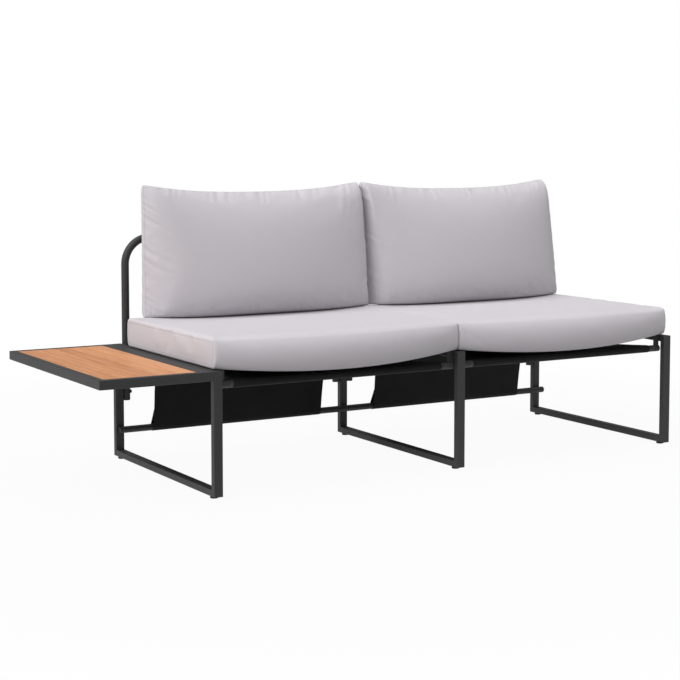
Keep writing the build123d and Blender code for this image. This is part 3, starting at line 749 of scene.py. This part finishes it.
def back_cover(bay):
    """Back cushion: a front and a rear sheet that meet in a seam round the ends, head and foot.

    With a from -1 to 1 across and h from 0 to 1 up, the front stands 150 - 26 |a|^3 mm before the rear of the
    frame at the foot and 86 mm at the head, straight between, plus a belly of 46 mm times (1 - a^2) that is
    fullest low down. From a fold that stands further from the end at the foot than at the head, gussets slope
    back to the seam, and the foot draws in by 22 mm. The head line rises to its corners.
    """
    low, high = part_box(f"{bay}_back_cushion")
    folds, firms, ends = fold_widths[bay], fold_firmness[bay], end_shifts[bay]

    def sideways(a, h):
        """0 on the end seams and 1 past the folds, with a soft bend."""
        wide = np.where(a < 0, between(folds[0], h), between(folds[1], h))
        firm = np.where(a < 0, between(firms[0], h), between(firms[1], h))
        fold = (1 - np.abs(a)) * back_half / wide
        return np.clip(1 - np.log1p(np.exp(firm * (1 - fold))) / firm, 0, 1) ** 0.8

    def across_line(t):
        """Rough line over the front from end to end, along which the columns are even."""
        return t * back_half, 0.09 * sideways(t, 0.4)

    def upward_line(t):
        """Rough line over the front from foot to head, along which the rows are even."""
        return t * back_tall / 2, 0.12 * upright((t + 1) / 2) + 0.03 * (1 - t * t)

    a, u = even_places(across_line, back_columns)
    k, v = even_places(upward_line, back_rows)
    a, u = a[None, :], u[None, :]
    h, v = (k[:, None] + 1) / 2, v[:, None]

    # How far the rear, the front and the seam stand forward
    rear_set = rear_foot_set - (rear_foot_set - rear_head_set) * h
    front_set = (front_foot_set - front_foot_drawn * np.abs(a) ** 3) * (1 - h) + front_head_set * h
    front_set = front_set + belly_depth * (1 - a * a) * belly(h)
    front_set = front_set - foot_tuck * (1 - 0.7 * a * a) * np.exp(-h / 0.08)
    crevice = (bay == "right") * np.exp(-(1 + a) * back_half / 0.05)
    seam_set = rear_set + seam_set_head + seam_set_foot * (1 - h) * (1 - 0.9 * crevice)

    # Places of the two sheets, with rounded ears
    x_from, x_to = low[0] + between(ends[0], h), high[0] + between(ends[1], h)
    x = (x_from + x_to) / 2 + (x_to - x_from) / 2 * a
    z_sit = back_foot - rest_dip(x)
    z_head = back_head + ear_rise * np.abs(a) ** 2.6
    z = z_sit + (z_head - z_sit) * h
    fore = y_rear - seam_set - (front_set - seam_set) * sideways(a, h) * upright(h)
    aft = y_rear - seam_set + (seam_set - rear_set) * edge_round(a, 40) * upright(h, 26.0)
    aft = aft + rear_belly * (1 - a * a) * belly(h)
    ear = np.exp(-((1 - np.abs(a)) * back_half + (1 - h) * back_tall) / ear_reach)
    x = x - np.sign(a) * ear_round * ear
    z = z - ear_round * ear

    seed = 0.6 if bay == "left" else 3.1
    crease, from_end, from_top, from_foot = back_creases(u, v, a, h, seed)
    front = rippled(np.stack([x, fore, z], -1), crease * (h > 0.012), 1)
    rear = rippled(np.stack([x, aft, z], -1), 0.3 * crease, -1)
    for sheet in (front, rear):
        sheet[..., 2] = np.maximum(sheet[..., 2], z_sit)

    # The two sheets share the points of the seam
    rim = np.zeros((back_rows, back_columns), bool)
    rim[[0, -1], :] = True
    rim[:, [0, -1]] = True
    front_index = np.arange(rim.size).reshape(rim.shape)
    rear_index = front_index.copy()
    rear_index[~rim] = rim.size + np.arange((~rim).sum())
    edge_line = np.stack([x, np.broadcast_to(y_rear - seam_set, x.shape), z], -1)
    front[rim] = edge_line[rim]
    points = np.concatenate([front.reshape(-1, 3), rear[~rim]])
    plain = grid_quads(back_rows, back_columns)
    faces = np.concatenate([front_index.ravel()[plain], rear_index.ravel()[plain][:, ::-1]])
    cloth_map = np.stack([np.broadcast_to(u, x.shape), np.broadcast_to(v, x.shape)], -1).reshape(-1, 2)
    maps = np.concatenate([cloth_map[plain], cloth_map[plain][:, ::-1] + np.array([2.0, 0.0])])
    made = piece_from(f"{bay}_back_cushion_cover", points, faces, finishes["cushion_cloth"], maps)

    # Stitch line on the front sheet, and a sharp edge along the seam
    near = np.minimum(from_end, from_top)
    seam_lines(made, np.concatenate([(near - back_stitch_inset).ravel(), 0.02 + near[~rim]]))
    edges = np.empty(2 * len(made.data.edges), dtype=np.int32)
    made.data.edges.foreach_get("vertices", edges)
    sewn = np.append(rim.ravel(), np.zeros((~rim).sum(), bool))[edges.reshape(-1, 2)].all(1)
    sharp = made.data.attributes.new("crease_edge", "FLOAT", "EDGE")
    sharp.data.foreach_set("value", sewn * np.float32(0.9))
    held = rim | np.broadcast_to(h < 0.03, x.shape)
    slack = np.maximum(head_slack[bay] * np.exp(-from_top / 0.035), end_slack * np.exp(-from_end / 0.03))
    foot_slack = (0.3 + 0.9 * np.clip(a - 0.3, 0, 0.6)) * np.exp(-from_foot / 0.025)
    slack = np.maximum(slack, foot_slack)
    give = np.clip(near / 0.02, 0, 1) * (1 - 0.8 * (bay == "right") * np.exp(-u / 0.08))
    slack, give = np.broadcast_to(slack, x.shape), np.broadcast_to(give, x.shape)
    held, slack, give = (np.concatenate([v.ravel(), v[~rim]]) for v in (held, slack, give))
    swell(made, held, slack, back_cap, give)
    finish_cushion(made, f"{bay}_back_cushion_body", f"{bay}_back_cushion")


for bay in bays:
    seat_cover(bay)
    back_cover(bay)

# Floor: shades softly under the object, and shows white to camera and reflections
floor_reach = 30.0
floor_grey = (0.46, 0.46, 0.46, 1.0)
white = (1.0, 1.0, 1.0, 1.0)
floor_mesh = bpy.data.meshes.new("floor")
floor_corners = [(-1, -1), (1, -1), (1, 1), (-1, 1)]
floor_mesh.from_pydata([(x * floor_reach, y * floor_reach, 0) for x, y in floor_corners], [], [(0, 1, 2, 3)])
floor = bpy.data.objects.new("floor", floor_mesh)
scene.collection.objects.link(floor)
f = Finish("floor_white")
camera_ray, glossy_ray, clear_ray = (f.node("ShaderNodeLightPath", out=i) for i in (0, 3, 6))
seen = camera_ray.most(glossy_ray).most(clear_ray)
shade = f.node("ShaderNodeBsdfDiffuse", inputs={"Color": floor_grey})
glow = f.node("ShaderNodeEmission", inputs={"Color": white, "Strength": 1.0})
floor_x, floor_y, _ = f.axes(f.place())
away = (floor_x * floor_x + floor_y * floor_y).step(1.2, 5.5)
both = f.node("ShaderNodeMixShader", inputs={0: seen * (0.95 + 0.05 * away), 1: shade, 2: glow})
floor_mesh.materials.append(f.close(both))

# Surroundings: white to the camera, a soft even glow to the object
even_glow = 0.355
scene.world = bpy.data.worlds.new("studio")
w = Finish("studio", scene.world)
seen = w.node("ShaderNodeLightPath", out=0)
even = w.node("ShaderNodeBackground", inputs={"Color": white, "Strength": even_glow})
bright = w.node("ShaderNodeBackground", inputs={"Color": white, "Strength": 1.0})
w.close(w.node("ShaderNodeMixShader", inputs={0: seen, 1: even, 2: bright}), "ShaderNodeOutputWorld")


def sky_lamp(name, from_direction, spread, strength):
    """Broad far lamp that shines from a direction, soft by its spread in degrees."""
    lamp = bpy.data.lights.new(name, "SUN")
    lamp.angle = math.radians(spread)
    lamp.energy = strength
    made = bpy.data.objects.new(name, lamp)
    made.rotation_euler = Vector(from_direction).to_track_quat("Z", "Y").to_euler()
    scene.collection.objects.link(made)


sky_lamp("key_left", (-0.75, -0.12, 0.65), 50, 2.08)
sky_lamp("key_high", (-0.3, -0.4, 0.87), 50, 0.2)
sky_lamp("overhead", (0.0, 0.0, 1.0), 80, 1.0)

# Camera at the photograph's angle: place in metres, turn from +Y and tilt below level in degrees
camera_place = (-2.37362, -3.93266, 0.90131)
camera_turn, camera_tilt = -30.403, 4.618
lens = bpy.data.cameras.new("camera")
lens.sensor_width = 36.0
lens.lens = 85.987
lens.shift_x, lens.shift_y = 0.00427, -0.10
lens.clip_end = 100.0
camera = bpy.data.objects.new("camera", lens)
camera.location = camera_place
camera.rotation_euler = (math.radians(90 - camera_tilt), 0.0, math.radians(camera_turn))
scene.collection.objects.link(camera)
scene.camera = camera
